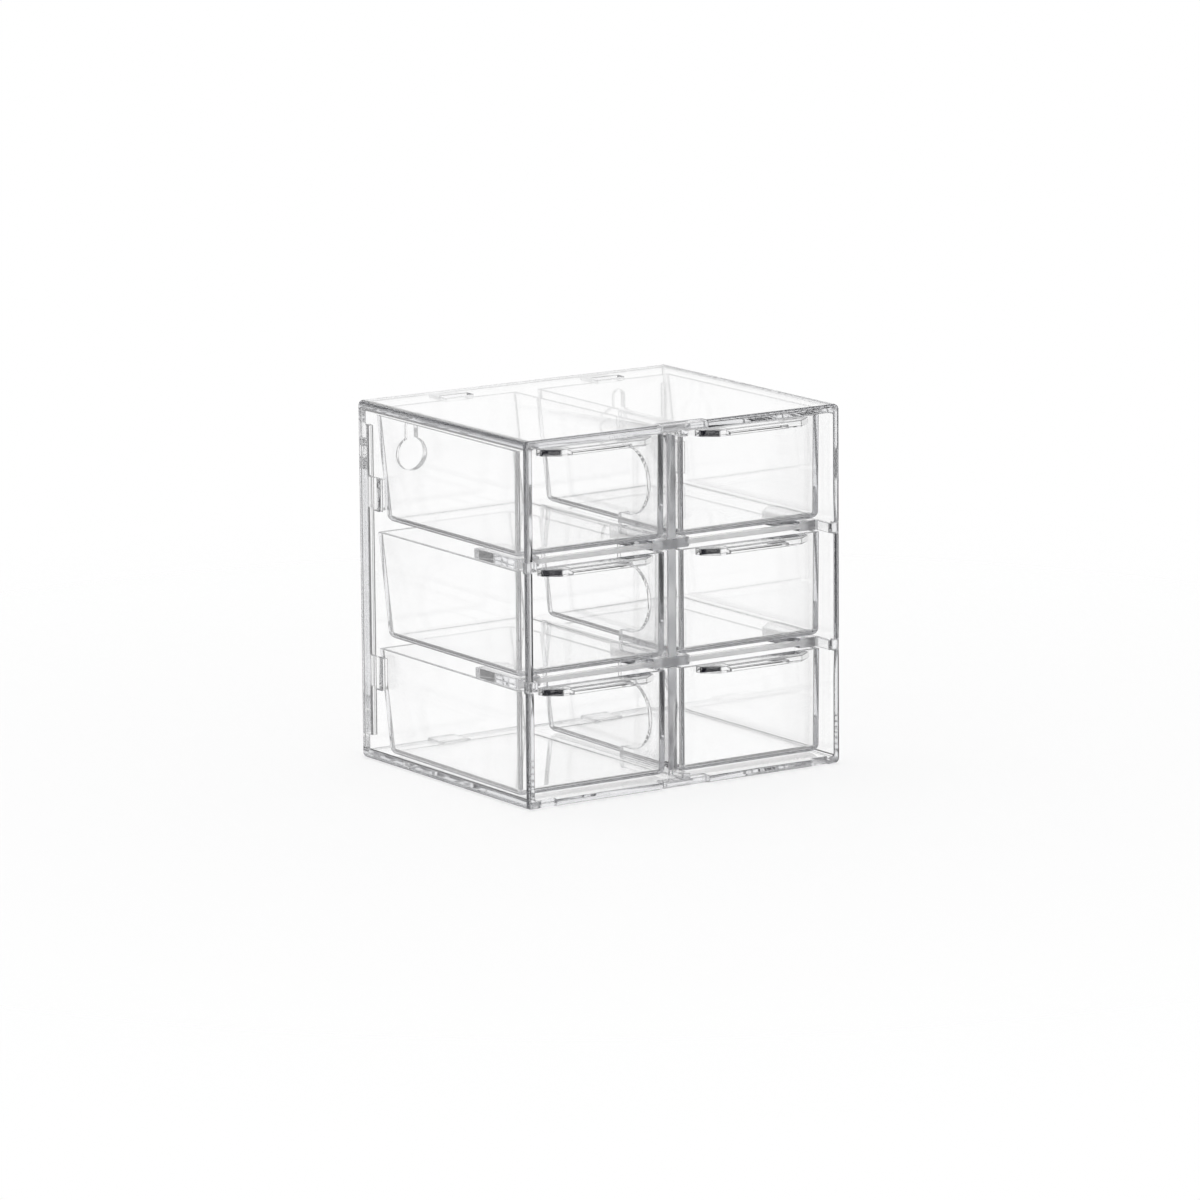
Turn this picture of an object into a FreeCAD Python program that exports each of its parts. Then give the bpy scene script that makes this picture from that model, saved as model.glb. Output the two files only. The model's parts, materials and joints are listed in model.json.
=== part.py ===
import FreeCAD, Part
import os

# A clear plastic cabinet with six small drawers, in millimetres.
# The origin is under the middle of the base, +Z is up and the drawers open towards -Y.
# A depth is measured back from the front edge of the casing.

Vector = FreeCAD.Vector

# Whole cabinet
cabinet_width = 123.0
cabinet_depth = 100.0
cabinet_height = 120.0

# Casing, a tube that is open at the front and at the back
casing_wall = 2.6
casing_outer_radius = 1.8
casing_inner_radius = 1.0
casing_front_radius = 0.6
casing_rim_radius = 0.35

# Rows and fits
row_count = 3
ceiling_room = 0.9
fit_gap = 0.15

# Divider, an upright plate behind the front edge
divider_thickness = 3.3
divider_front_radius = 0.3
divider_recess = 7.7
divider_reach = 28.3
bite_radius = 11.0
bite_depth = 30.0
bite_drop = 1.5
bite_corner_radius = 1.5

# Keys that hold the divider in the front edge of the floor and the ceiling
key_width = 18.0
key_length = 3.4
key_sink = 0.3
toe_height = 1.8

# Shelf frames, which carry the drawers above the bottom row
shelf_thickness = 3.3
shelf_recess = 8.2
crossbar_thickness = 1.7
crossbar_depth = 2.4
centre_ledge_front_width = 14.2
centre_ledge_full_width = 21.0
centre_ledge_full_depth = 29.0
centre_ledge_tip_width = 12.0
side_ledge_front_width = 7.8
side_ledge_full_width = 10.4
side_ledge_full_depth = 27.0
side_ledge_tip_width = 4.6
side_ledge_tip_depth = 32.5
side_ledge_corner_gap = 1.6
halving_depth = 22.0

# Clips that hold a shelf frame on the front edges of the side walls
clip_thickness = 1.5
clip_notch_depth = 1.8
clip_sink = 0.3

# Finger notches in the front edge of the floor
floor_notch_width = 6.6
floor_notch_depth = 1.6
floor_notch_inset = 4.4

# Drawers
drawer_wall = 1.5
drawer_recess = 7.5
drawer_wall_gap = 0.4
drawer_divider_gap = 1.35
drawer_bottom_gap = 0.2
drawer_top_gap = 0.6
drawer_back_room = 2.75
drawer_back_slope = 6.0
drawer_back_taper = 1.2
drawer_side_draft = 0.15
drawer_front_draft = 0.3
drawer_bottom_radius = 2.6
drawer_corner_radius = 0.5
drawer_inner_radius = 0.5

# Pull lip along the top of a drawer's front
lip_length = 43.0
lip_reach = 6.3
lip_return = 2.4
lip_slant_length = 5.4
lip_corner_radius = 0.9
lip_height = 2.2
lip_flange = 1.0
lip_skirt = 1.3
lip_pocket_inset = 4.5

# Back panel
panel_thickness = 2.5
rim_width = 2.0
rim_depth = 1.75
rim_inset = 5.2
rim_lead_width = 1.1
rim_lead_depth = 0.82

# Keyholes for hanging the cabinet on two screws
keyhole_spacing = 80.0
keyhole_diameter = 11.0
keyhole_drop = 19.7
keyhole_neck_width = 4.0
keyhole_neck_length = 11.2

# Snap hooks around the back panel and their windows in the casing
hook_offset = 30.0
hook_width = 10.4
hook_reach = 10.1
hook_arm = 1.1
tooth_length = 3.5
tooth_height = 1.8
tooth_flat = 1.2
window_gap = 0.2

# Places worked out from the sizes above
front = -cabinet_depth / 2
back = cabinet_depth / 2
half_width = cabinet_width / 2
inner_half_width = half_width - casing_wall
floor_top = casing_wall
ceiling = cabinet_height - casing_wall
middle_height = cabinet_height / 2
row_pitch = (ceiling - ceiling_room - floor_top + shelf_thickness) / row_count
row_room = row_pitch - shelf_thickness
divider_front = front + divider_recess
divider_back = divider_front + divider_reach
panel_front = back - panel_thickness
rim_front = panel_front - rim_depth
window_front = panel_front - hook_reach - window_gap
window_back = panel_front - hook_reach + tooth_length + window_gap
keyhole_height = cabinet_height - keyhole_drop
keyhole_neck_top = keyhole_height + keyhole_neck_length

# Two lengths closer than this count as equal
tolerance = 0.001


def block(x_low, x_high, y_low, y_high, z_low, z_high):
    corner = Vector(x_low, y_low, z_low)
    return Part.makeBox(x_high - x_low, y_high - y_low, z_high - z_low, corner)


def round_along(shape, direction, radius):
    """Round every straight edge that runs along one axis."""
    edges = []
    for edge in shape.Edges:
        start = edge.Vertexes[0].Point
        end = edge.Vertexes[-1].Point
        run = end.sub(start)
        if run.Length > 0 and abs(run.dot(direction)) > (1 - tolerance) * run.Length:
            edges.append(edge)
    return shape.makeFillet(radius, edges)


def slab(outline, z_low, z_high):
    """Raise a flat outline of (x, y) corners to a slab."""
    points = [Vector(x, y, z_low) for x, y in outline]
    face = Part.Face(Part.makePolygon(points + points[:1]))
    return face.extrude(Vector(0, 0, z_high - z_low))


def tapered_block(floor_corners, rim_corners):
    """A solid with flat sides between a lower and an upper rectangle."""
    loops = [floor_corners[::-1], rim_corners]
    for index in range(4):
        following = (index + 1) % 4
        loops.append([floor_corners[index], floor_corners[following],
                      rim_corners[following], rim_corners[index]])
    faces = [Part.Face(Part.makePolygon(loop + loop[:1])) for loop in loops]
    return Part.Solid(Part.makeShell(faces))


def mirrored(shape):
    return shape.mirror(Vector(0, 0, 0), Vector(1, 0, 0))


def joined(shapes):
    solid = shapes[0].fuse(shapes[1:]) if len(shapes) > 1 else shapes[0]
    return solid.removeSplitter()


def row_floor(row):
    return floor_top + row * row_pitch


def shelf_levels():
    """Underside of each shelf frame."""
    return [row_floor(row) - shelf_thickness for row in range(1, row_count)]


def wall_windows():
    """Windows for the snap hooks, two in each of the four walls."""
    width = hook_width + 2 * window_gap
    windows = []
    for side in (-1, 1):
        for offset in (-hook_offset, hook_offset):
            x_low = side * half_width - casing_wall
            z_low = middle_height + side * middle_height - casing_wall
            z_start = middle_height + offset - width / 2
            x_start = offset - width / 2
            across = 2 * casing_wall
            windows.append(block(x_low, x_low + across, window_front, window_back,
                                 z_start, z_start + width))
            windows.append(block(x_start, x_start + width, window_front, window_back,
                                 z_low, z_low + across))
    return windows


def rim_edges(tube, at_front, outside):
    """The edges of one outline of the tube, the outer or the inner one, at one end."""
    end = front if at_front else back
    found = []
    for edge in tube.Edges:
        box = edge.BoundBox
        middle = edge.valueAt((edge.FirstParameter + edge.LastParameter) / 2)
        beyond = max(abs(middle.x) - inner_half_width,
                     abs(middle.z - middle_height) - (ceiling - middle_height))
        at_end = box.YLength < tolerance and abs(middle.y - end) < tolerance
        if at_end and (beyond > casing_wall / 2) == outside:
            found.append(edge)
    return found


def casing():
    outer = block(-half_width, half_width, front, back, 0, cabinet_height)
    outer = round_along(outer, Vector(0, 1, 0), casing_outer_radius)
    inner = block(-inner_half_width, inner_half_width, front - casing_wall,
                  back + casing_wall, floor_top, ceiling)
    inner = round_along(inner, Vector(0, 1, 0), casing_inner_radius)
    tube = outer.cut(inner)
    for at_front, outside, radius in ((True, True, casing_front_radius),
                                      (True, False, casing_rim_radius),
                                      (False, True, casing_rim_radius),
                                      (False, False, casing_rim_radius)):
        tube = tube.makeFillet(radius, rim_edges(tube, at_front, outside))

    cuts = wall_windows()
    for level in shelf_levels():
        for side in (-1, 1):
            edge_x = side * (half_width - casing_wall / 2)
            cuts.append(block(edge_x - casing_wall, edge_x + casing_wall,
                              front - casing_wall, front + clip_notch_depth,
                              level - fit_gap, level + shelf_thickness + fit_gap))
    key_half = key_width / 2 + fit_gap
    key_back = front + key_sink + key_length + fit_gap
    for z_middle in (casing_wall / 2, cabinet_height - casing_wall / 2):
        cuts.append(block(-key_half, key_half, front - casing_wall, key_back,
                          z_middle - casing_wall, z_middle + casing_wall))
    notch_start = half_width - floor_notch_inset - floor_notch_width
    notch = block(notch_start, notch_start + floor_notch_width, front - casing_wall,
                  front + floor_notch_depth, -casing_wall, casing_wall + fit_gap)
    cuts.append(notch)
    cuts.append(mirrored(notch))
    for cut in cuts:
        tube = tube.cut(cut)
    return tube


def divider_bite(middle):
    """A round bite in the back edge of the divider, open towards the back."""
    centre = Vector(-divider_thickness, front + bite_depth, middle)
    disc = Part.makeCylinder(bite_radius, 2 * divider_thickness, centre, Vector(1, 0, 0))
    mouth = block(-divider_thickness, divider_thickness, front + bite_depth,
                  divider_back + divider_thickness,
                  middle - bite_radius, middle + bite_radius)
    return disc.fuse(mouth)


def divider():
    half = divider_thickness / 2
    plate = block(-half, half, divider_front, divider_back, floor_top, ceiling - fit_gap)
    for row in range(row_count):
        plate = plate.cut(divider_bite(row_floor(row) + row_room / 2 - bite_drop))
    corners = []
    for edge in plate.Edges:
        box = edge.BoundBox
        at_back = abs(box.YMin - divider_back) < tolerance and box.YLength < tolerance
        inside = box.ZMin > floor_top + tolerance and box.ZMax < ceiling - fit_gap - tolerance
        if at_back and inside and box.ZLength < tolerance:
            corners.append(edge)
    plate = plate.makeFillet(bite_corner_radius, corners)
    nose = [edge for edge in plate.Edges
            if edge.BoundBox.YMax < divider_front + tolerance
            and edge.BoundBox.ZLength > row_room]
    plate = plate.makeFillet(divider_front_radius, nose)

    for level in shelf_levels():
        plate = plate.cut(block(-divider_thickness, divider_thickness,
                                front, front + halving_depth,
                                level - fit_gap, level + shelf_thickness + fit_gap))

    key_front = front + key_sink
    key_half = key_width / 2
    foot_key = block(-key_half, key_half, key_front, key_front + key_length,
                     key_sink, floor_top)
    foot_toe = block(-half, half, key_front, divider_front, floor_top,
                     floor_top + toe_height)
    head_key = block(-key_half, key_half, key_front, key_front + key_length,
                     ceiling - fit_gap, cabinet_height - key_sink)
    head_toe = block(-half, half, key_front, divider_front,
                     ceiling - fit_gap - toe_height, ceiling - fit_gap)
    return joined([plate, foot_key, foot_toe, head_key, head_toe])


def centre_ledge(level):
    """The ledge on both sides of the divider, slotted to straddle it."""
    front_half = centre_ledge_front_width / 2
    full_half = centre_ledge_full_width / 2
    tip_half = centre_ledge_tip_width / 2
    start = front + shelf_recess
    widest = front + centre_ledge_full_depth
    outline = [(-front_half, start), (front_half, start), (full_half, widest),
               (tip_half, divider_back), (-tip_half, divider_back), (-full_half, widest)]
    ledge = slab(outline, level, level + shelf_thickness)
    slot_half = divider_thickness / 2 + fit_gap
    slot = block(-slot_half, slot_half, front + halving_depth - fit_gap,
                 divider_back + fit_gap, level, level + shelf_thickness)
    return ledge.cut(slot)


def side_ledge(level):
    """The ledge on the right-hand wall, with its clip round the wall's front edge."""
    seat = inner_half_width - fit_gap
    start = front + shelf_recess
    widest = front + side_ledge_full_depth
    outline = [(inner_half_width - side_ledge_corner_gap, start),
               (inner_half_width - side_ledge_front_width, start),
               (inner_half_width - side_ledge_full_width, widest),
               (inner_half_width - side_ledge_tip_width, front + side_ledge_tip_depth),
               (seat, front + side_ledge_tip_depth),
               (seat, start + side_ledge_corner_gap),
               (inner_half_width - side_ledge_corner_gap, start + side_ledge_corner_gap)]
    ledge = slab(outline, level, level + shelf_thickness)
    strip = block(seat - clip_thickness, seat, front + clip_sink,
                  start + 2 * side_ledge_corner_gap, level, level + shelf_thickness)
    nib = block(seat - clip_thickness, half_width - clip_sink, front + clip_sink,
                front + clip_notch_depth - fit_gap, level, level + shelf_thickness)
    return ledge.fuse([strip, nib])


def shelf_frame(level):
    middle = level + shelf_thickness / 2
    bar_end = inner_half_width - side_ledge_front_width / 2
    bar = block(-bar_end, bar_end, front + shelf_recess,
                front + shelf_recess + crossbar_depth,
                middle - crossbar_thickness / 2, middle + crossbar_thickness / 2)
    side = side_ledge(level)
    return joined([bar, centre_ledge(level), side, mirrored(side)])


def drawer_tub(bottom, top, half, y_front, y_back, radius, corner):
    """A tapered tub with a sloped back, rounded below and at its upright corners."""
    rise = top - bottom
    low_front = y_front + drawer_front_draft
    low_back = y_back - drawer_back_slope
    taper = drawer_back_taper / (y_back - y_front)

    def corners_at(z, draft, y_low, y_high):
        low_half = half - draft - taper * (y_low - y_front)
        high_half = half - draft - taper * (y_high - y_front)
        return [Vector(-low_half, y_low, z), Vector(low_half, y_low, z),
                Vector(high_half, y_high, z), Vector(-high_half, y_high, z)]

    floor_corners = corners_at(bottom, drawer_side_draft, low_front, low_back)
    rim_corners = corners_at(top, 0, y_front, y_back)
    tub = tapered_block(floor_corners, rim_corners)
    roundings = [(corner, "upright"), (radius, "below")]
    # The larger radius goes first, so that the smaller one runs over it
    roundings.sort(key=lambda item: -item[0])
    for size, place in roundings:
        if place == "upright":
            edges = [edge for edge in tub.Edges if edge.BoundBox.ZLength > rise / 2]
        else:
            edges = [edge for edge in tub.Edges if edge.BoundBox.ZMax < bottom + tolerance]
        tub = tub.makeFillet(size, edges)
    return tub


def pull_lip(top, y_front):
    """A flange with a skirt and slanted solid ends, all along the drawer's front."""
    half = lip_length / 2
    straight = half - lip_slant_length
    y_face = y_front - lip_reach
    root = y_front + drawer_wall / 2
    outline = [(-half, root), (-half, y_front - lip_return), (-straight, y_face),
               (straight, y_face), (half, y_front - lip_return), (half, root)]
    lip = slab(outline, top - lip_height, top)
    corners = []
    for edge in lip.Edges:
        foot = edge.Vertexes[0].Point
        upright = edge.BoundBox.ZLength > lip_height / 2
        if upright and abs(foot.y - (y_front - lip_return)) < tolerance:
            corners.append(edge)
    lip = lip.makeFillet(lip_corner_radius, corners)
    pocket_half = straight - lip_pocket_inset
    pocket = block(-pocket_half, pocket_half, y_face + lip_skirt, y_front,
                   top - lip_height, top - lip_flange)
    return lip.cut(pocket)


def drawer(row, side):
    """One drawer, with side -1 for the left-hand column and 1 for the right-hand one."""
    inner_edge = divider_thickness / 2 + drawer_divider_gap
    outer_edge = inner_half_width - drawer_wall_gap
    half = (outer_edge - inner_edge) / 2
    middle = (outer_edge + inner_edge) / 2
    bottom = row_floor(row) + drawer_bottom_gap
    top = row_floor(row) + row_room - drawer_top_gap
    y_front = front + drawer_recess
    y_back = rim_front - drawer_back_room
    outer = drawer_tub(bottom, top, half, y_front, y_back,
                       drawer_bottom_radius, drawer_corner_radius)
    inner_radius = drawer_bottom_radius - drawer_wall
    hollow = drawer_tub(bottom + drawer_wall, top, half - drawer_wall,
                        y_front + drawer_wall, y_back - drawer_wall,
                        inner_radius, drawer_inner_radius)
    tub = outer.cut(hollow)
    tub = joined([tub, pull_lip(top, y_front)])
    tub.translate(Vector(side * middle, 0, 0))
    return tub


def keyhole(x_middle):
    radius = keyhole_diameter / 2
    start = Vector(x_middle, panel_front - panel_thickness, keyhole_height)
    disc = Part.makeCylinder(radius, 3 * panel_thickness, start, Vector(0, 1, 0))
    neck_half = keyhole_neck_width / 2
    neck = block(x_middle - neck_half, x_middle + neck_half,
                 panel_front - panel_thickness, back + panel_thickness,
                 keyhole_height, keyhole_neck_top - neck_half)
    neck_end = Vector(x_middle, panel_front - panel_thickness,
                      keyhole_neck_top - neck_half)
    round_end = Part.makeCylinder(neck_half, 3 * panel_thickness, neck_end,
                                  Vector(0, 1, 0))
    return disc.fuse([neck, round_end])


def snap_hook(offset, wall_distance, turn):
    """A hook on the panel's edge, drawn at the top and turned about the panel's middle."""
    outside = wall_distance - fit_gap
    inside = outside - hook_arm
    tip = panel_front - hook_reach
    tooth_back = tip + tooth_length
    outline = [(panel_front, inside), (tip, inside), (tip, outside),
               (tooth_back - tooth_flat, outside + tooth_height),
               (tooth_back, outside + tooth_height), (tooth_back, outside),
               (panel_front, outside)]
    x_low = offset - hook_width / 2
    points = [Vector(x_low, y, middle_height + w) for y, w in outline]
    hook = Part.Face(Part.makePolygon(points + points[:1])).extrude(Vector(hook_width, 0, 0))
    hook.rotate(Vector(0, 0, middle_height), Vector(0, 1, 0), turn)
    return hook


def back_panel():
    half = inner_half_width - fit_gap
    low = floor_top + fit_gap
    high = ceiling - fit_gap
    plate = block(-half, half, panel_front, back, low, high)
    plate = round_along(plate, Vector(0, 1, 0), casing_inner_radius - fit_gap)
    for side in (-1, 1):
        plate = plate.cut(keyhole(side * keyhole_spacing / 2))
    outline = [(half, panel_front), (half, rim_front + rim_lead_depth),
               (half - rim_lead_width, rim_front), (half - rim_width, rim_front),
               (half - rim_width, panel_front)]
    rim = slab(outline, low + rim_inset, high - rim_inset)
    pieces = [plate, rim, mirrored(rim)]
    for offset in (-hook_offset, hook_offset):
        pieces.append(snap_hook(offset, middle_height - casing_wall, 0))
        pieces.append(snap_hook(offset, inner_half_width, 90))
        pieces.append(snap_hook(offset, middle_height - casing_wall, 180))
        pieces.append(snap_hook(offset, inner_half_width, 270))
    return joined(pieces)


def save(name, shape):
    solids = shape.Solids
    if len(solids) == 1:
        shape = solids[0]
    shape.exportStep(os.path.join("parts", name + ".step"))
    box = shape.BoundBox
    print(name, "solids", len(solids), "valid", shape.isValid(),
          "volume", round(shape.Volume, 1),
          "x", round(box.XMin, 2), round(box.XMax, 2),
          "y", round(box.YMin, 2), round(box.YMax, 2),
          "z", round(box.ZMin, 2), round(box.ZMax, 2))


os.makedirs("parts", exist_ok=True)
save("casing", casing())
save("back_panel", back_panel())
save("divider", divider())
for place, level in zip(("lower", "upper"), shelf_levels()):
    save("shelf_frame_" + place, shelf_frame(level))
for row, place in enumerate(("bottom", "middle", "top")):
    for side, hand in ((-1, "left"), (1, "right")):
        save("drawer_" + place + "_" + hand, drawer(row, side))
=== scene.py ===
import json
import math
import bmesh
import bpy
import numpy as np
from mathutils import Matrix, Vector


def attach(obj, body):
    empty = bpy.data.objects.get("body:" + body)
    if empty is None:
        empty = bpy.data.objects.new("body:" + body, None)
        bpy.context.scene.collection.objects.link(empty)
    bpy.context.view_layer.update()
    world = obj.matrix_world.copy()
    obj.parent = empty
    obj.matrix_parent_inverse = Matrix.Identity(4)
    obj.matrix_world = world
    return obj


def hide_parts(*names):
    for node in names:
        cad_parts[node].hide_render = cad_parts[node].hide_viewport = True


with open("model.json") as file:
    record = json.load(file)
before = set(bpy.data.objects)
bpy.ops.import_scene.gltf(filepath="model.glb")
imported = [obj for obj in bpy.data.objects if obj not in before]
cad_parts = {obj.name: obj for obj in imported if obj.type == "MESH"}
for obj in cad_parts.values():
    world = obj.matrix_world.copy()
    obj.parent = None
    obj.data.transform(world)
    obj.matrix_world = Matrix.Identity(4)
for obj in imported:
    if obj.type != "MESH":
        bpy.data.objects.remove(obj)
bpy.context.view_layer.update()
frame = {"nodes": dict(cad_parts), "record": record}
scene = bpy.context.scene
print("frame loaded,", len(frame["nodes"]), "nodes")

mm = 0.001


def fromHex(code):
    # sRGB hex to the linear values that the shaders take
    channels = [int(code[i:i + 2], 16) / 255 for i in (0, 2, 4)]
    linear = [c / 12.92 if c <= 0.04045 else ((c + 0.055) / 1.055) ** 2.4 for c in channels]
    return (*linear, 1.0)


def addNode(tree, kind, inputs=None, **settings):
    # an input is either a value or the socket that feeds it
    node = tree.nodes.new(kind)
    for key, value in settings.items():
        setattr(node, key, value)
    for key, value in (inputs or {}).items():
        if isinstance(value, bpy.types.NodeSocket):
            tree.links.new(value, node.inputs[key])
        else:
            node.inputs[key].default_value = value
    return node


def setRamp(node, stops):
    # stops are (place, grey) pairs in rising order. The greys come last, because the ramp
    # sorts its elements while their places change
    elements = node.color_ramp.elements
    while len(elements) < len(stops):
        elements.new(0.5)
    for element, (place, grey) in zip(elements, stops):
        element.position = place
    for element, (place, grey) in zip(elements, stops):
        element.color = (grey, grey, grey, 1)


casingLook = {
    "tint": "FFFFFF",            # water clear, its faint cool tone is all in the depth
    "absorb": "D2D3D7",          # the cool grey that a long way inside leaves
    "absorbDensity": 5.0,        # per metre
    "ior": 1.59,
    "roughness": 0.012,
    "waveLength": 24.0,          # mm, slow waves where the melt cooled
    "waveHeight": 0.012,         # mm
    "scuffRoughness": 0.05,      # hairline scuffs from handling
    "scuffLength": 1.3,          # mm
    "scuffStretch": (1.0, 0.12, 1.0),
    "scuffPeaks": (0.56, 0.78),  # the part of the noise that scuffs
    "satinFront": None,          # mm, the middle and the half width of a satin slice
    "satinRoughness": 0.5,
}
# the mould leaves the narrow front faces of the divider and the shelf frames satin
fittingLook = dict(casingLook, absorb="C6C9D4", absorbDensity=6.0,
                   waveLength=11.0, waveHeight=0.006, satinFront=(-42.15, 0.45))
# thin tubs, drawn deep: long ways inside their walls, so their edges go darker
drawerLook = dict(casingLook, absorbDensity=9.0, waveLength=17.0, waveHeight=0.009)


def clearPolystyrene(name, look):
    # Crystal polystyrene, injection moulded in a polished tool. The eye sees clear panels
    # that hardly darken, cool grey edges where light runs inside the plastic, slow waves
    # that bend a line behind a panel a little, and hairline scuffs in the gloss.
    material = bpy.data.materials.new(name)
    material.use_nodes = True
    tree = material.node_tree
    shader = tree.nodes["Principled BSDF"]
    shader.inputs["Base Color"].default_value = fromHex(look["tint"])
    shader.inputs["Transmission Weight"].default_value = 1.0
    shader.inputs["IOR"].default_value = look["ior"]

    place = addNode(tree, "ShaderNodeTexCoord").outputs["Object"]
    # hairline scuffs: noise drawn out along one way, kept only at its peaks
    drawn = addNode(tree, "ShaderNodeMapping", {"Vector": place, "Scale": look["scuffStretch"]})
    scuff = addNode(tree, "ShaderNodeTexNoise", {
        "Vector": drawn.outputs[0], "Scale": 1 / (look["scuffLength"] * mm),
        "Detail": 3.0, "Roughness": 0.6})
    lowest, highest = look["scuffPeaks"]
    rough = addNode(tree, "ShaderNodeMapRange", {
        "Value": scuff.outputs[0], "From Min": lowest, "From Max": highest,
        "To Min": look["roughness"], "To Max": look["scuffRoughness"]})
    if look["satinFront"]:
        depth = addNode(tree, "ShaderNodeSeparateXYZ", {0: place}).outputs["Y"]
        middle, reach = (value * mm for value in look["satinFront"])
        front = addNode(tree, "ShaderNodeMath", {0: depth, 1: middle, 2: reach},
                        operation="COMPARE")
        satin = addNode(tree, "ShaderNodeMath", {0: front.outputs[0], 1: look["satinRoughness"]},
                        operation="MULTIPLY")
        rough = addNode(tree, "ShaderNodeMath", {0: rough.outputs[0], 1: satin.outputs[0]},
                        operation="MAXIMUM")
    tree.links.new(rough.outputs[0], shader.inputs["Roughness"])
    # slow waves in the surface
    wave = addNode(tree, "ShaderNodeTexNoise", {
        "Vector": place, "Scale": 1 / (look["waveLength"] * mm), "Detail": 1.0})
    bump = addNode(tree, "ShaderNodeBump", {
        "Height": wave.outputs[0], "Strength": 1.0, "Distance": look["waveHeight"] * mm})
    tree.links.new(bump.outputs[0], shader.inputs["Normal"])
    # light that runs a long way inside goes grey
    inside = addNode(tree, "ShaderNodeVolumeAbsorption", {
        "Color": fromHex(look["absorb"]), "Density": look["absorbDensity"]})
    tree.links.new(inside.outputs[0], tree.nodes["Material Output"].inputs["Volume"])
    return material


materials = {
    "casing_polystyrene": clearPolystyrene("casingPolystyrene", casingLook),
    "fitting_polystyrene": clearPolystyrene("fittingPolystyrene", fittingLook),
    "drawer_polystyrene": clearPolystyrene("drawerPolystyrene", drawerLook),
}
print("materials made")


softEdges = {
    "width": 0.22,        # mm, the small radius that a mould leaves on a sharp edge
    "segments": 2,
    "sharpAngle": 32.0,   # degrees
    "shortRun": 3.0,      # mm, a shorter run of edges stays as it is
    "flatAngle": 0.4,     # degrees, facets closer than this lie in one plane
    "tinyEdge": 0.06,     # mm, a sharp edge shorter than this is drawn together
    "weld": 0.001,        # mm, corners closer than this are one
    # (axis, mm) of cuts through the holes of a piece, so that each of its flat faces stays
    # one plain outline and the rounding of its edges doesn't fold it
    "cuts": {
        "back_panel": [(0, -40.0), (0, 40.0)],
        "casing": [(2, 30.0), (2, 90.0), (0, -30.0), (0, 0.0), (0, 30.0)],
    },
}


def weldedMesh(node):
    # the CAD node's loose triangles with their shared corners made one
    source = node.data
    points = np.empty(len(source.vertices) * 3)
    source.vertices.foreach_get("co", points)
    corners = np.empty(len(source.loops), int)
    source.loops.foreach_get("vertex_index", corners)
    keys = np.round(points.reshape(-1, 3) / (softEdges["weld"] * mm)).astype(np.int64)
    unique, first, inverse = np.unique(keys, axis=0, return_index=True, return_inverse=True)
    triangles = inverse.reshape(-1)[corners].reshape(-1, 3)
    whole = ((triangles[:, 0] != triangles[:, 1]) & (triangles[:, 1] != triangles[:, 2])
             & (triangles[:, 2] != triangles[:, 0]))
    mesh = bpy.data.meshes.new(node.name + "_soft")
    mesh.from_pydata(points.reshape(-1, 3)[first].tolist(), [], triangles[whole].tolist())
    return mesh


def edgeRuns(shape):
    # the sharp edges, gathered into runs that share corners
    limit = math.radians(softEdges["sharpAngle"])
    sharp = {edge for edge in shape.edges if edge.calc_face_angle(0) > limit}
    runs = []
    for first in shape.edges:
        if first not in sharp:
            continue
        sharp.remove(first)
        waiting = [first]
        run = []
        while waiting:
            edge = waiting.pop()
            run.append(edge)
            for vert in edge.verts:
                for near in vert.link_edges:
                    if near in sharp:
                        sharp.remove(near)
                        waiting.append(near)
        runs.append(run)
    return runs


def soften(mesh, clamp=True, cuts=()):
    # rounds the sharp edges, each run by itself, so that one short edge doesn't thin them all
    shape = bmesh.new()
    shape.from_mesh(mesh)
    for axis, level in cuts:
        across = np.eye(3)[axis]
        everything = shape.verts[:] + shape.edges[:] + shape.faces[:]
        made = bmesh.ops.bisect_plane(shape, geom=everything,
                                      plane_co=across * level * mm, plane_no=across)
        for part in made["geom_cut"]:
            if isinstance(part, bmesh.types.BMEdge):
                part.seam = True
    bmesh.ops.dissolve_limit(shape, angle_limit=math.radians(softEdges["flatAngle"]),
                             verts=shape.verts, edges=shape.edges, delimit={"SEAM"})
    sharp = math.radians(softEdges["sharpAngle"])
    tiny = [edge for edge in shape.edges if edge.calc_face_angle(0) > sharp
            and edge.calc_length() < softEdges["tinyEdge"] * mm]
    bmesh.ops.collapse(shape, edges=tiny)
    for run in edgeRuns(shape):
        if sum(edge.calc_length() for edge in run) > softEdges["shortRun"] * mm:
            bmesh.ops.bevel(shape, geom=run, offset=softEdges["width"] * mm,
                            segments=softEdges["segments"], profile=0.5, affect="EDGES",
                            clamp_overlap=clamp, miter_outer="ARC")
    for face in shape.faces:
        face.smooth = True
    shape.to_mesh(mesh)
    shape.free()


casingMouth = {                # mm
    "halfWidth": 61.5, "height": 120.0, "cornerRadius": 1.8, "front": -50.0,
    "cadRadius": 0.6,          # the round of the outer front edge as the CAD has it
    "radius": 1.3,             # and as it is here
    "slack": 0.005,
}


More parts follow.
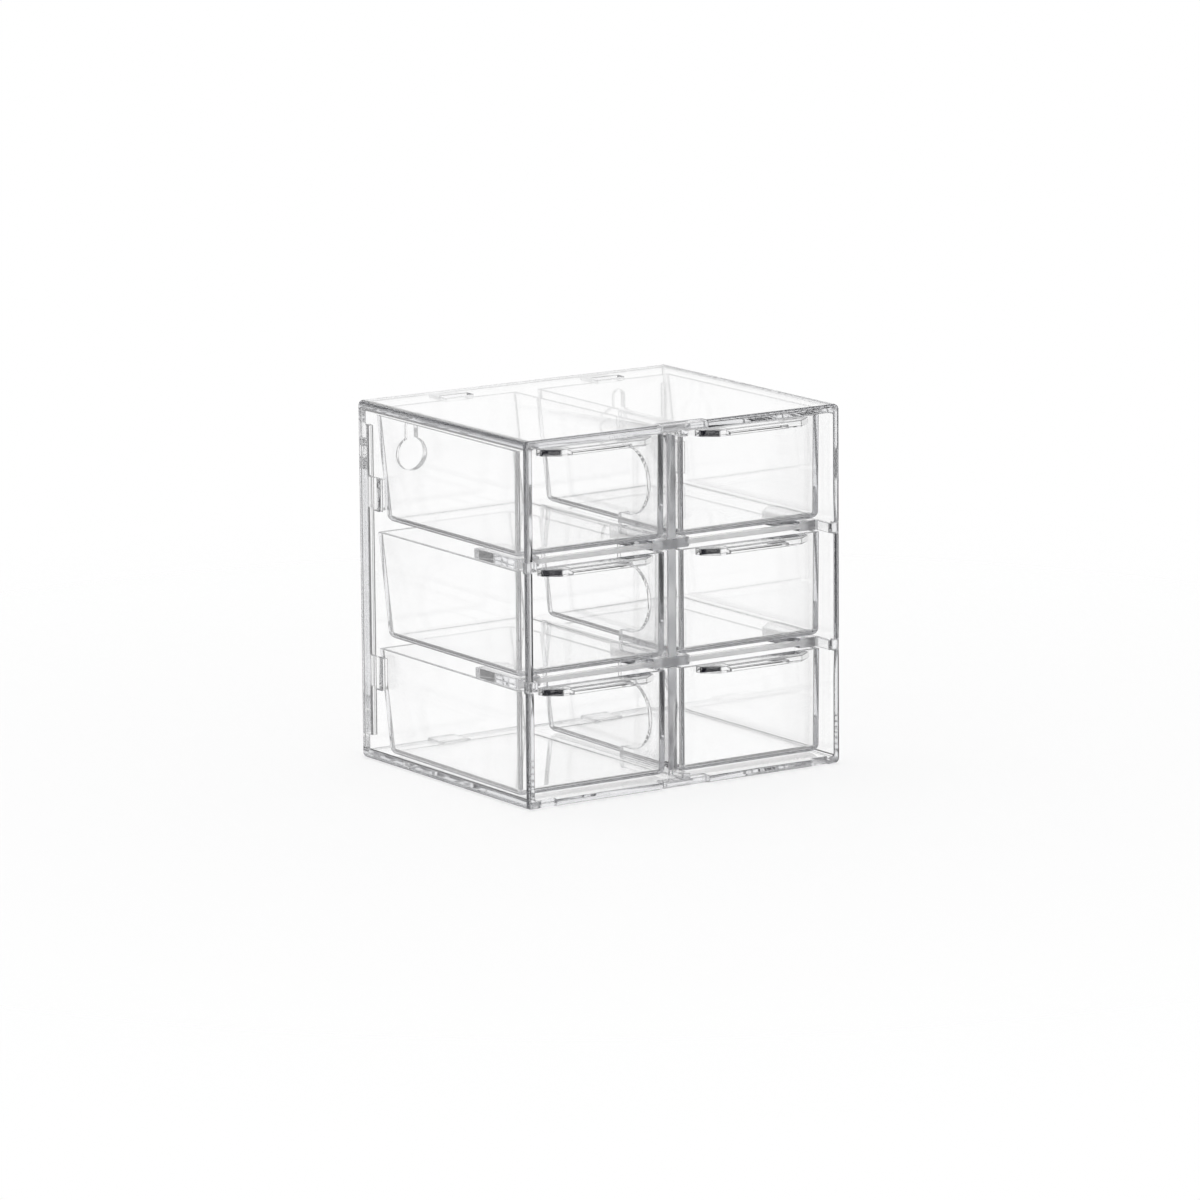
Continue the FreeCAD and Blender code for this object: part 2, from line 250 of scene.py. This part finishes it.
def roundMouth(mesh, look):
    # The round of the casing's outer front edge made fuller: the distance of each of its points
    # from the outer face and from the front face grows in the same proportion, radius over
    # cadRadius, and the flats stay flat.
    points = np.empty(len(mesh.vertices) * 3)
    mesh.vertices.foreach_get("co", points)
    points = points.reshape(-1, 3) / mm
    centre = np.array([0, look["height"] / 2])
    core = np.array([look["halfWidth"], look["height"] / 2]) - look["cornerRadius"]
    plan = points[:, [0, 2]] - centre
    beyond = np.maximum(np.abs(plan) - core, 0)
    reach = np.linalg.norm(beyond, axis=1)
    inward = look["cornerRadius"] - reach
    back = points[:, 1] - look["front"]
    limit = look["cadRadius"] + look["slack"]
    chosen = (reach > 0) & (inward < limit) & (back < limit)
    grow = look["radius"] / look["cadRadius"] - 1
    away = -np.sign(plan) * beyond / np.maximum(reach, 1e-9)[:, None]
    shift = away * (inward * grow)[:, None]
    points[chosen, 0] += shift[chosen, 0]
    points[chosen, 2] += shift[chosen, 1]
    points[chosen, 1] += back[chosen] * grow
    mesh.vertices.foreach_set("co", (points * mm).reshape(-1))
    mesh.update()


def placePiece(piece, slot, node, body):
    # gives a piece its plastic, keeps its flat faces flat and puts it in the node's place
    piece.data.materials.append(materials[slot])
    normals = piece.modifiers.new("flatFaces", "WEIGHTED_NORMAL")
    normals.mode = "FACE_AREA"
    normals.weight = 100
    normals.keep_sharp = True
    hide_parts(node)
    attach(piece, body)
    return piece


def finishPiece(nodeName, slot, body):
    # a copy of the CAD node's mesh, welded, its flat faces made whole and its edges softened
    mesh = weldedMesh(frame["nodes"][nodeName])
    if nodeName == "casing":
        roundMouth(mesh, casingMouth)
    soften(mesh, cuts=softEdges["cuts"].get(nodeName, ()))
    piece = bpy.data.objects.new(nodeName + "_clear", mesh)
    scene.collection.objects.link(piece)
    return placePiece(piece, slot, nodeName, body)


dividerPlate = {               # mm, as the CAD has them
    "half": 1.65, "front": -42.3, "back": -14.0, "bottom": 2.6, "top": 117.25,
    "biteRadius": 11.0, "biteCentre": -20.0, "cornerRadius": 1.5, "noseRadius": 0.3,
    "biteHeights": (18.985, 58.052, 97.118),
    "slotBack": -28.0, "slots": ((38.217, 41.817), (77.283, 80.883)),
    "toeFront": -49.7, "toeHeight": 1.8,
    "keyHalf": 9.0, "keyBack": -46.3, "keySink": 0.3, "cabinetTop": 120.0,
    "cornerSteps": 10, "biteSteps": 73, "noseSteps": 6,
    "slack": 0.01, "shortestNose": 10.0,    # to find the nose's upright edges
}


def arc(centre, radius, start, end, steps):
    # points at equal turns from start to end degrees round a centre
    turn = np.radians(np.linspace(start, end, steps))
    return np.column_stack([centre[0] + radius * np.cos(turn), centre[1] + radius * np.sin(turn)])


def roundCorner(before, corner, after, radius, steps=7):
    # a quadratic curve in place of a corner, between the points where its round would touch
    before, corner, after = (np.array(point, float) for point in (before, corner, after))
    inward = (before - corner) / np.linalg.norm(before - corner)
    onward = (after - corner) / np.linalg.norm(after - corner)
    reach = radius / math.tan(math.acos(float(inward @ onward)) / 2)
    share = np.linspace(0, 1, steps)[:, None]
    return corner + reach * inward * (1 - share) ** 2 + reach * onward * share ** 2


def meshPiece(name, points, faces):
    # points in mm to a piece whose faces look outwards
    mesh = bpy.data.meshes.new(name)
    mesh.from_pydata((points * mm).tolist(), [], faces)
    shape = bmesh.new()
    shape.from_mesh(mesh)
    bmesh.ops.recalc_face_normals(shape, faces=shape.faces)
    shape.to_mesh(mesh)
    shape.free()
    piece = bpy.data.objects.new(name, mesh)
    scene.collection.objects.link(piece)
    return piece


def tube(name, rings):
    # closed rings of points, one after the other, joined by quads and closed at both ends
    count, around = rings.shape[:2]
    index = np.arange(count * around).reshape(count, around)
    turned = np.roll(index, -1, axis=1)
    quads = np.stack([index[:-1], turned[:-1], turned[1:], index[1:]], axis=-1).reshape(-1, 4)
    ends = [index[0][::-1].tolist(), index[-1].tolist()]
    return meshPiece(name, rings.reshape(-1, 3), quads.tolist() + ends)


def extruded(name, outline, low, high, axis):
    # a flat outline in mm, carried along one axis from low to high
    layers = [np.insert(np.asarray(outline, float), axis, level, axis=1) for level in (low, high)]
    return tube(name, np.stack(layers))


def combine(piece, others):
    # joins or cuts with the other pieces, then makes the flat faces whole again
    for operation, other in others:
        change = piece.modifiers.new("change", "BOOLEAN")
        change.operation = operation
        change.solver = "EXACT"
        change.object = other
    bpy.context.view_layer.update()
    finished = piece.evaluated_get(bpy.context.evaluated_depsgraph_get())
    whole = bpy.data.meshes.new_from_object(finished)
    piece.modifiers.clear()
    for operation, other in others:
        bpy.data.objects.remove(other)
    shape = bmesh.new()
    shape.from_mesh(whole)
    bmesh.ops.remove_doubles(shape, verts=shape.verts, dist=softEdges["weld"] * mm)
    bmesh.ops.dissolve_limit(shape, angle_limit=math.radians(softEdges["flatAngle"]),
                             verts=shape.verts, edges=shape.edges)
    shape.to_mesh(whole)
    shape.free()
    piece.data = whole


def makeDivider(look, slot, body):
    # the plate's outline runs up the front, round the slots, then down the back,
    # where each bite is an arc between two small rounded corners
    front, back, bottom, top = (look[key] for key in ("front", "back", "bottom", "top"))
    toe, height = look["toeFront"], look["toeHeight"]
    runs = [[(toe, bottom), (toe, bottom + height), (front, bottom + height)]]
    deep = look["slotBack"]
    for low, high in look["slots"]:
        runs.append([(front, low), (deep, low), (deep, high), (front, high)])
    runs.append([(front, top - height), (toe, top - height), (toe, top), (back, top)])
    radius, corner, centre = look["biteRadius"], look["cornerRadius"], look["biteCentre"]
    steps = look["cornerSteps"]
    for middle in look["biteHeights"][::-1]:
        runs.append(arc((back - corner, middle + radius + corner), corner, 0, -90, steps))
        runs.append(arc((centre, middle), radius, 90, 270, look["biteSteps"]))
        runs.append(arc((back - corner, middle - radius - corner), corner, 90, 0, steps))
    runs.append([(back, bottom)])
    outline = np.vstack([np.array(run) for run in runs])
    piece = extruded("divider_clear", outline, -look["half"], look["half"], 0)
    # a bar across the foot and one across the head make the T-shaped keys
    keys = []
    keyBack = look["keyBack"]
    for low, high in ((look["keySink"], bottom), (top, look["cabinetTop"] - look["keySink"])):
        rectangle = [(toe, low), (toe, high), (keyBack, high), (keyBack, low)]
        keys.append(("UNION", extruded("key", rectangle, -look["keyHalf"], look["keyHalf"], 0)))
    combine(piece, keys)
    # the nose: the upright edges of the plate's front, rounded more than the rest
    shape = bmesh.new()
    shape.from_mesh(piece.data)
    slack = look["slack"] * mm
    nose = [edge for edge in shape.edges
            if all(abs(vert.co.y - front * mm) < slack for vert in edge.verts)
            and abs(edge.verts[0].co.x - edge.verts[1].co.x) < slack
            and abs(edge.verts[0].co.z - edge.verts[1].co.z) > look["shortestNose"] * mm]
    bmesh.ops.bevel(shape, geom=nose, offset=look["noseRadius"] * mm,
                    segments=look["noseSteps"], profile=0.5, affect="EDGES")
    shape.to_mesh(piece.data)
    shape.free()
    soften(piece.data)
    return placePiece(piece, slot, "divider", body)


drawerTub = {                  # mm, heights above the drawer's underside
    "half": 27.75, "front": -42.5, "back": 43.0, "height": 34.967, "wall": 1.5,
    "backTaper": 1.2, "innerTaper": 1.0,    # how far each side draws in towards the back
    "sideDraft": 0.15, "frontDraft": 0.3, "backSlope": 6.0,    # how far each wall leans out
    "floorRadius": 2.6, "cornerRadius": 0.5, "innerFloorRadius": 1.1, "innerCornerRadius": 0.5,
    # the pull lip: a bar along the front's top edge, hollow underneath in its middle
    "lipHalf": 21.5, "lipStraight": 16.1, "lipReach": 6.3, "lipReturn": 2.4, "lipCorner": 0.9,
    "lipHeight": 2.2, "lipFlange": 1.0, "lipSkirt": 1.3, "pocketHalf": 11.6,
    "columns": {"left": -30.75, "right": 30.75},
    "rows": {"bottom": 2.8, "middle": 41.867, "top": 80.933},
}


def wallProfile(lean, height, radius, steps):
    # an arc from the floor into a leaning wall, then the wall's top: how far each point
    # stands in from the wall's foot, and how high it is
    slope = math.atan(lean / height)
    foot = radius * (1 / math.cos(slope) - math.tan(slope))
    turn = np.radians(np.linspace(270, 180 + math.degrees(slope), steps))
    inset = np.append(foot + radius * np.cos(turn), -lean)
    rise = np.append(radius + radius * np.sin(turn), height)
    return inset, rise


def tubRings(look, inside, steps=9, cornerSteps=9):
    # one skin of the tub: its wall profile carried round a rounded outline whose sides
    # draw in towards the back
    wall = look["wall"] if inside else 0
    radius = look["innerFloorRadius" if inside else "floorRadius"]
    corner = look["innerCornerRadius" if inside else "cornerRadius"]
    height = look["height"] - wall
    front, back, half = look["front"] + wall, look["back"] - wall, look["half"] - wall
    taper = look["innerTaper" if inside else "backTaper"] / (back - front)
    frontIn, frontRise = wallProfile(look["frontDraft"], height, radius, steps)
    sideIn, sideRise = wallProfile(look["sideDraft"], height, radius, steps)
    backIn, backRise = wallProfile(look["backSlope"], height, radius, steps)
    yFront = front + look["frontDraft"] + frontIn
    yBack = back - look["backSlope"] - backIn
    rings = []
    # corners in turn: front right, back right, back left, front left
    for side, y, start in ((1, yFront + corner, -90), (1, yBack - corner, 0),
                           (-1, yBack - corner, 90), (-1, yFront + corner, 180)):
        atFront = start in (-90, 180)
        endRise = frontRise if atFront else backRise
        edge = half - look["sideDraft"] - sideIn - taper * (y - front)
        turn = np.radians(np.linspace(start, start + 90, cornerSteps))
        share = np.abs(np.sin(turn)) ** 2
        x = side * (edge - corner)[:, None] + corner * np.cos(turn)
        z = sideRise[:, None] * (1 - share) + endRise[:, None] * share + wall
        rings.append(np.stack([x, y[:, None] + corner * np.sin(turn), z], axis=-1))
    return np.concatenate(rings, axis=1)


def makeDrawerMesh(look):
    # the tub is its outer skin and its inner skin, joined along the rim, with the lip added
    outer, inner = tubRings(look, False), tubRings(look, True)
    piece = tube("drawer", np.concatenate([outer, inner[::-1]]))
    front, top = look["front"], look["height"]
    half, straight, face = look["lipHalf"], look["lipStraight"], front - look["lipReach"]
    root, turned = front + look["wall"] / 2, front - look["lipReturn"]
    bend = roundCorner((straight, face), (half, turned), (half, root), look["lipCorner"])
    rightEnd = np.vstack([[(straight, face)], bend, [(half, root)]])
    plan = np.vstack([rightEnd, rightEnd[::-1] * (-1, 1)])
    lip = extruded("lip", plan, top - look["lipHeight"], top, 2)
    pocket = look["pocketHalf"]
    hollow = [(-pocket, face + look["lipSkirt"]), (pocket, face + look["lipSkirt"]),
              (pocket, front), (-pocket, front)]
    cutter = extruded("pocket", hollow, top - 2 * look["lipHeight"], top - look["lipFlange"], 2)
    combine(lip, [("DIFFERENCE", cutter)])
    combine(piece, [("UNION", lip)])
    soften(piece.data, clamp=False)
    mesh = piece.data
    bpy.data.objects.remove(piece)
    return mesh


def makeDrawers(look):
    # six alike, each moved to its place
    shared = makeDrawerMesh(look)
    for row, height in look["rows"].items():
        for column, middle in look["columns"].items():
            node = "drawer_%s_%s" % (row, column)
            mesh = shared.copy()
            mesh.transform(Matrix.Translation((middle * mm, 0, height * mm)))
            piece = bpy.data.objects.new(node + "_clear", mesh)
            scene.collection.objects.link(piece)
            placePiece(piece, slotOf[node], node, bodyOf[node])


record = frame["record"]
bodyOf = {node: body for body, nodes in record["behaviour"]["bodies"].items() for node in nodes}
slotOf = {part["node"]: part["material_slot"] for part in record["subparts"]}
for name in ("casing", "back_panel", "shelf_frame_lower", "shelf_frame_upper"):
    finishPiece(name, slotOf[name], bodyOf[name])
makeDivider(dividerPlate, slotOf["divider"], bodyOf["divider"])
makeDrawers(drawerTub)
for name, node in frame["nodes"].items():
    node.data.materials.clear()
    node.data.materials.append(materials[slotOf[name]])
print("pieces finished")


cameraView = {
    "azimuth": -33.755, "elevation": 11.136, "roll": -0.454,   # degrees
    "distance": 2.46867, "target": (0.00006, 0.0, 0.0539),     # metres
    "farthest": 20,                                            # metres
    "lens": 225.0, "sensor": 36.0,                             # mm
}


def placeCamera(view):
    azimuth, elevation, roll = (math.radians(view[key])
                                for key in ("azimuth", "elevation", "roll"))
    back = Vector((math.sin(azimuth) * math.cos(elevation),
                   -math.cos(azimuth) * math.cos(elevation), math.sin(elevation)))
    level = Vector((math.cos(azimuth), math.sin(azimuth), 0))
    upright = back.cross(level)
    right = level * math.cos(roll) + upright * math.sin(roll)
    up = upright * math.cos(roll) - level * math.sin(roll)
    camera = bpy.data.objects.new("camera", bpy.data.cameras.new("camera"))
    camera.data.lens = view["lens"]
    camera.data.sensor_width = view["sensor"]
    camera.data.clip_end = view["farthest"]
    spot = Vector(view["target"]) + back * view["distance"]
    camera.matrix_world = Matrix((right, up, back)).transposed().to_4x4()
    camera.matrix_world.translation = spot
    scene.collection.objects.link(camera)
    scene.camera = camera


placeCamera(cameraView)
print("camera placed")


studio = {
    "floorColor": "FDFDFD",
    "floorFade": (100.0, 500.0),    # mm from the middle, where the floor runs out into white
    "floorRings": 3,
    "floorSteps": 64,
    "floorSink": 0.05,           # mm below the cabinet, so that the two share no face
    "level": 1.0,                # strength of the white walls
    "cardColor": "1C1C22",
    # black cards in front of white walls: how many degrees they reach above and below level,
    # by the degrees away from the front-back line
    "skyline": [(3.1, 0), (3.9, 66), (25.4, 66), (26.2, 0),
                (37.0, 0), (37.8, 66), (40.5, 66), (41.3, 0),
                (48.7, 0), (49.5, 66), (55.7, 66), (56.5, 0),
                (63.4, 0), (64.2, 66), (85.6, 66), (86.4, 0)],
    "cardEdge": 1.5,             # degrees, the soft end of a card
    "bounces": 128,              # light crosses many walls of clear plastic
    "throughBounces": 16,
}


def makeFloor(look):
    # a round pale floor: points at each radius and angle, all at one height
    nearest, farthest = look["floorFade"]
    radii = np.linspace(nearest, farthest, look["floorRings"])
    turn = np.linspace(0, 2 * np.pi, look["floorSteps"], endpoint=False)
    level = np.full((len(radii), len(turn)), -look["floorSink"])
    rings = np.stack([np.outer(radii, np.cos(turn)), np.outer(radii, np.sin(turn)), level], axis=-1)
    floor = tube("floor", rings)
    # the tube's second end would cover the whole floor once more
    shape = bmesh.new()
    shape.from_mesh(floor.data)
    shape.faces.ensure_lookup_table()
    bmesh.ops.delete(shape, geom=[shape.faces[-1]], context="FACES_ONLY")
    shape.to_mesh(floor.data)
    shape.free()
    material = bpy.data.materials.new("paleFloor")
    material.use_nodes = True
    tree = material.node_tree
    shader = tree.nodes["Principled BSDF"]
    shader.inputs["Base Color"].default_value = fromHex(look["floorColor"])
    shader.inputs["Roughness"].default_value = 1.0
    shader.inputs["Specular IOR Level"].default_value = 0.0
    place = addNode(tree, "ShaderNodeTexCoord").outputs["Object"]
    away = addNode(tree, "ShaderNodeVectorMath", {0: place}, operation="LENGTH")
    shown = addNode(tree, "ShaderNodeMapRange", {
        "Value": away.outputs["Value"], "From Min": nearest * mm, "From Max": farthest * mm,
        "To Min": 1.0, "To Max": 0.0}, interpolation_type="SMOOTHSTEP")
    tree.links.new(shown.outputs[0], shader.inputs["Alpha"])
    floor.data.materials.append(material)
    floor.visible_transmission = False
    floor.visible_glossy = False


def makeStudio(look):
    # White walls all round, with black cards between them that only gloss and glass see.
    # A direction is on a card where its angle from level is less than the card's reach there.
    world = bpy.data.worlds.new("studio")
    scene.world = world
    world.use_nodes = True
    tree = world.node_tree
    tree.nodes.clear()
    place = addNode(tree, "ShaderNodeTexCoord").outputs["Generated"]
    split = addNode(tree, "ShaderNodeSeparateXYZ", {0: place})
    # the angle from the front-back line, as a share of 90 degrees
    across = addNode(tree, "ShaderNodeMath", {0: split.outputs[0]}, operation="ABSOLUTE")
    along = addNode(tree, "ShaderNodeMath", {0: split.outputs[1]}, operation="ABSOLUTE")
    turn = addNode(tree, "ShaderNodeMath", {0: across.outputs[0], 1: along.outputs[0]},
                   operation="ARCTAN2")
    turnShare = addNode(tree, "ShaderNodeMath", {0: turn.outputs[0], 1: math.pi / 2},
                        operation="DIVIDE")
    cards = addNode(tree, "ShaderNodeValToRGB", {0: turnShare.outputs[0]})
    skyline = [(angle / 90, reach / 90) for angle, reach in look["skyline"]]
    setRamp(cards, [(0, 0)] + skyline + [(1, 0)])
    # the angle from level, as a share of 90 degrees
    rise = addNode(tree, "ShaderNodeMath", {0: split.outputs[2]}, operation="ARCSINE")
    height = addNode(tree, "ShaderNodeMath", {0: rise.outputs[0]}, operation="ABSOLUTE")
    heightShare = addNode(tree, "ShaderNodeMath", {0: height.outputs[0], 1: math.pi / 2},
                          operation="DIVIDE")
    over = addNode(tree, "ShaderNodeMath", {0: heightShare.outputs[0], 1: cards.outputs[0]},
                   operation="SUBTRACT")
    white = addNode(tree, "ShaderNodeMapRange", {
        "Value": over.outputs[0], "From Min": -look["cardEdge"] / 90, "From Max": 0.0},
        interpolation_type="SMOOTHSTEP")
    path = addNode(tree, "ShaderNodeLightPath")
    glass = addNode(tree, "ShaderNodeMath", {
        0: path.outputs["Is Glossy Ray"], 1: path.outputs["Is Transmission Ray"]},
        operation="MAXIMUM")
    plain = addNode(tree, "ShaderNodeMath", {0: 1.0, 1: glass.outputs[0]}, operation="SUBTRACT")
    # light that reaches the floor through the plastic comes from the white walls alone
    offFloor = addNode(tree, "ShaderNodeMath", {
        0: plain.outputs[0], 1: path.outputs["Diffuse Depth"]}, operation="MAXIMUM")
    share = addNode(tree, "ShaderNodeMath", {0: white.outputs[0], 1: offFloor.outputs[0]},
                    operation="MAXIMUM")
    seen = addNode(tree, "ShaderNodeMix", {
        0: share.outputs[0], 6: fromHex(look["cardColor"]), 7: (1, 1, 1, 1)}, data_type="RGBA")
    light = addNode(tree, "ShaderNodeBackground", {
        "Color": seen.outputs[2], "Strength": look["level"]})
    addNode(tree, "ShaderNodeOutputWorld", {0: light.outputs[0]})


makeFloor(studio)
makeStudio(studio)
scene.view_settings.view_transform = "Standard"
scene.cycles.max_bounces = studio["bounces"]
scene.cycles.transmission_bounces = studio["bounces"]
scene.cycles.glossy_bounces = studio["bounces"]
scene.cycles.transparent_max_bounces = studio["throughBounces"]
scene.cycles.blur_glossy = 0.0    # the plastic stays clear for the light that falls on the floor
print("studio made")
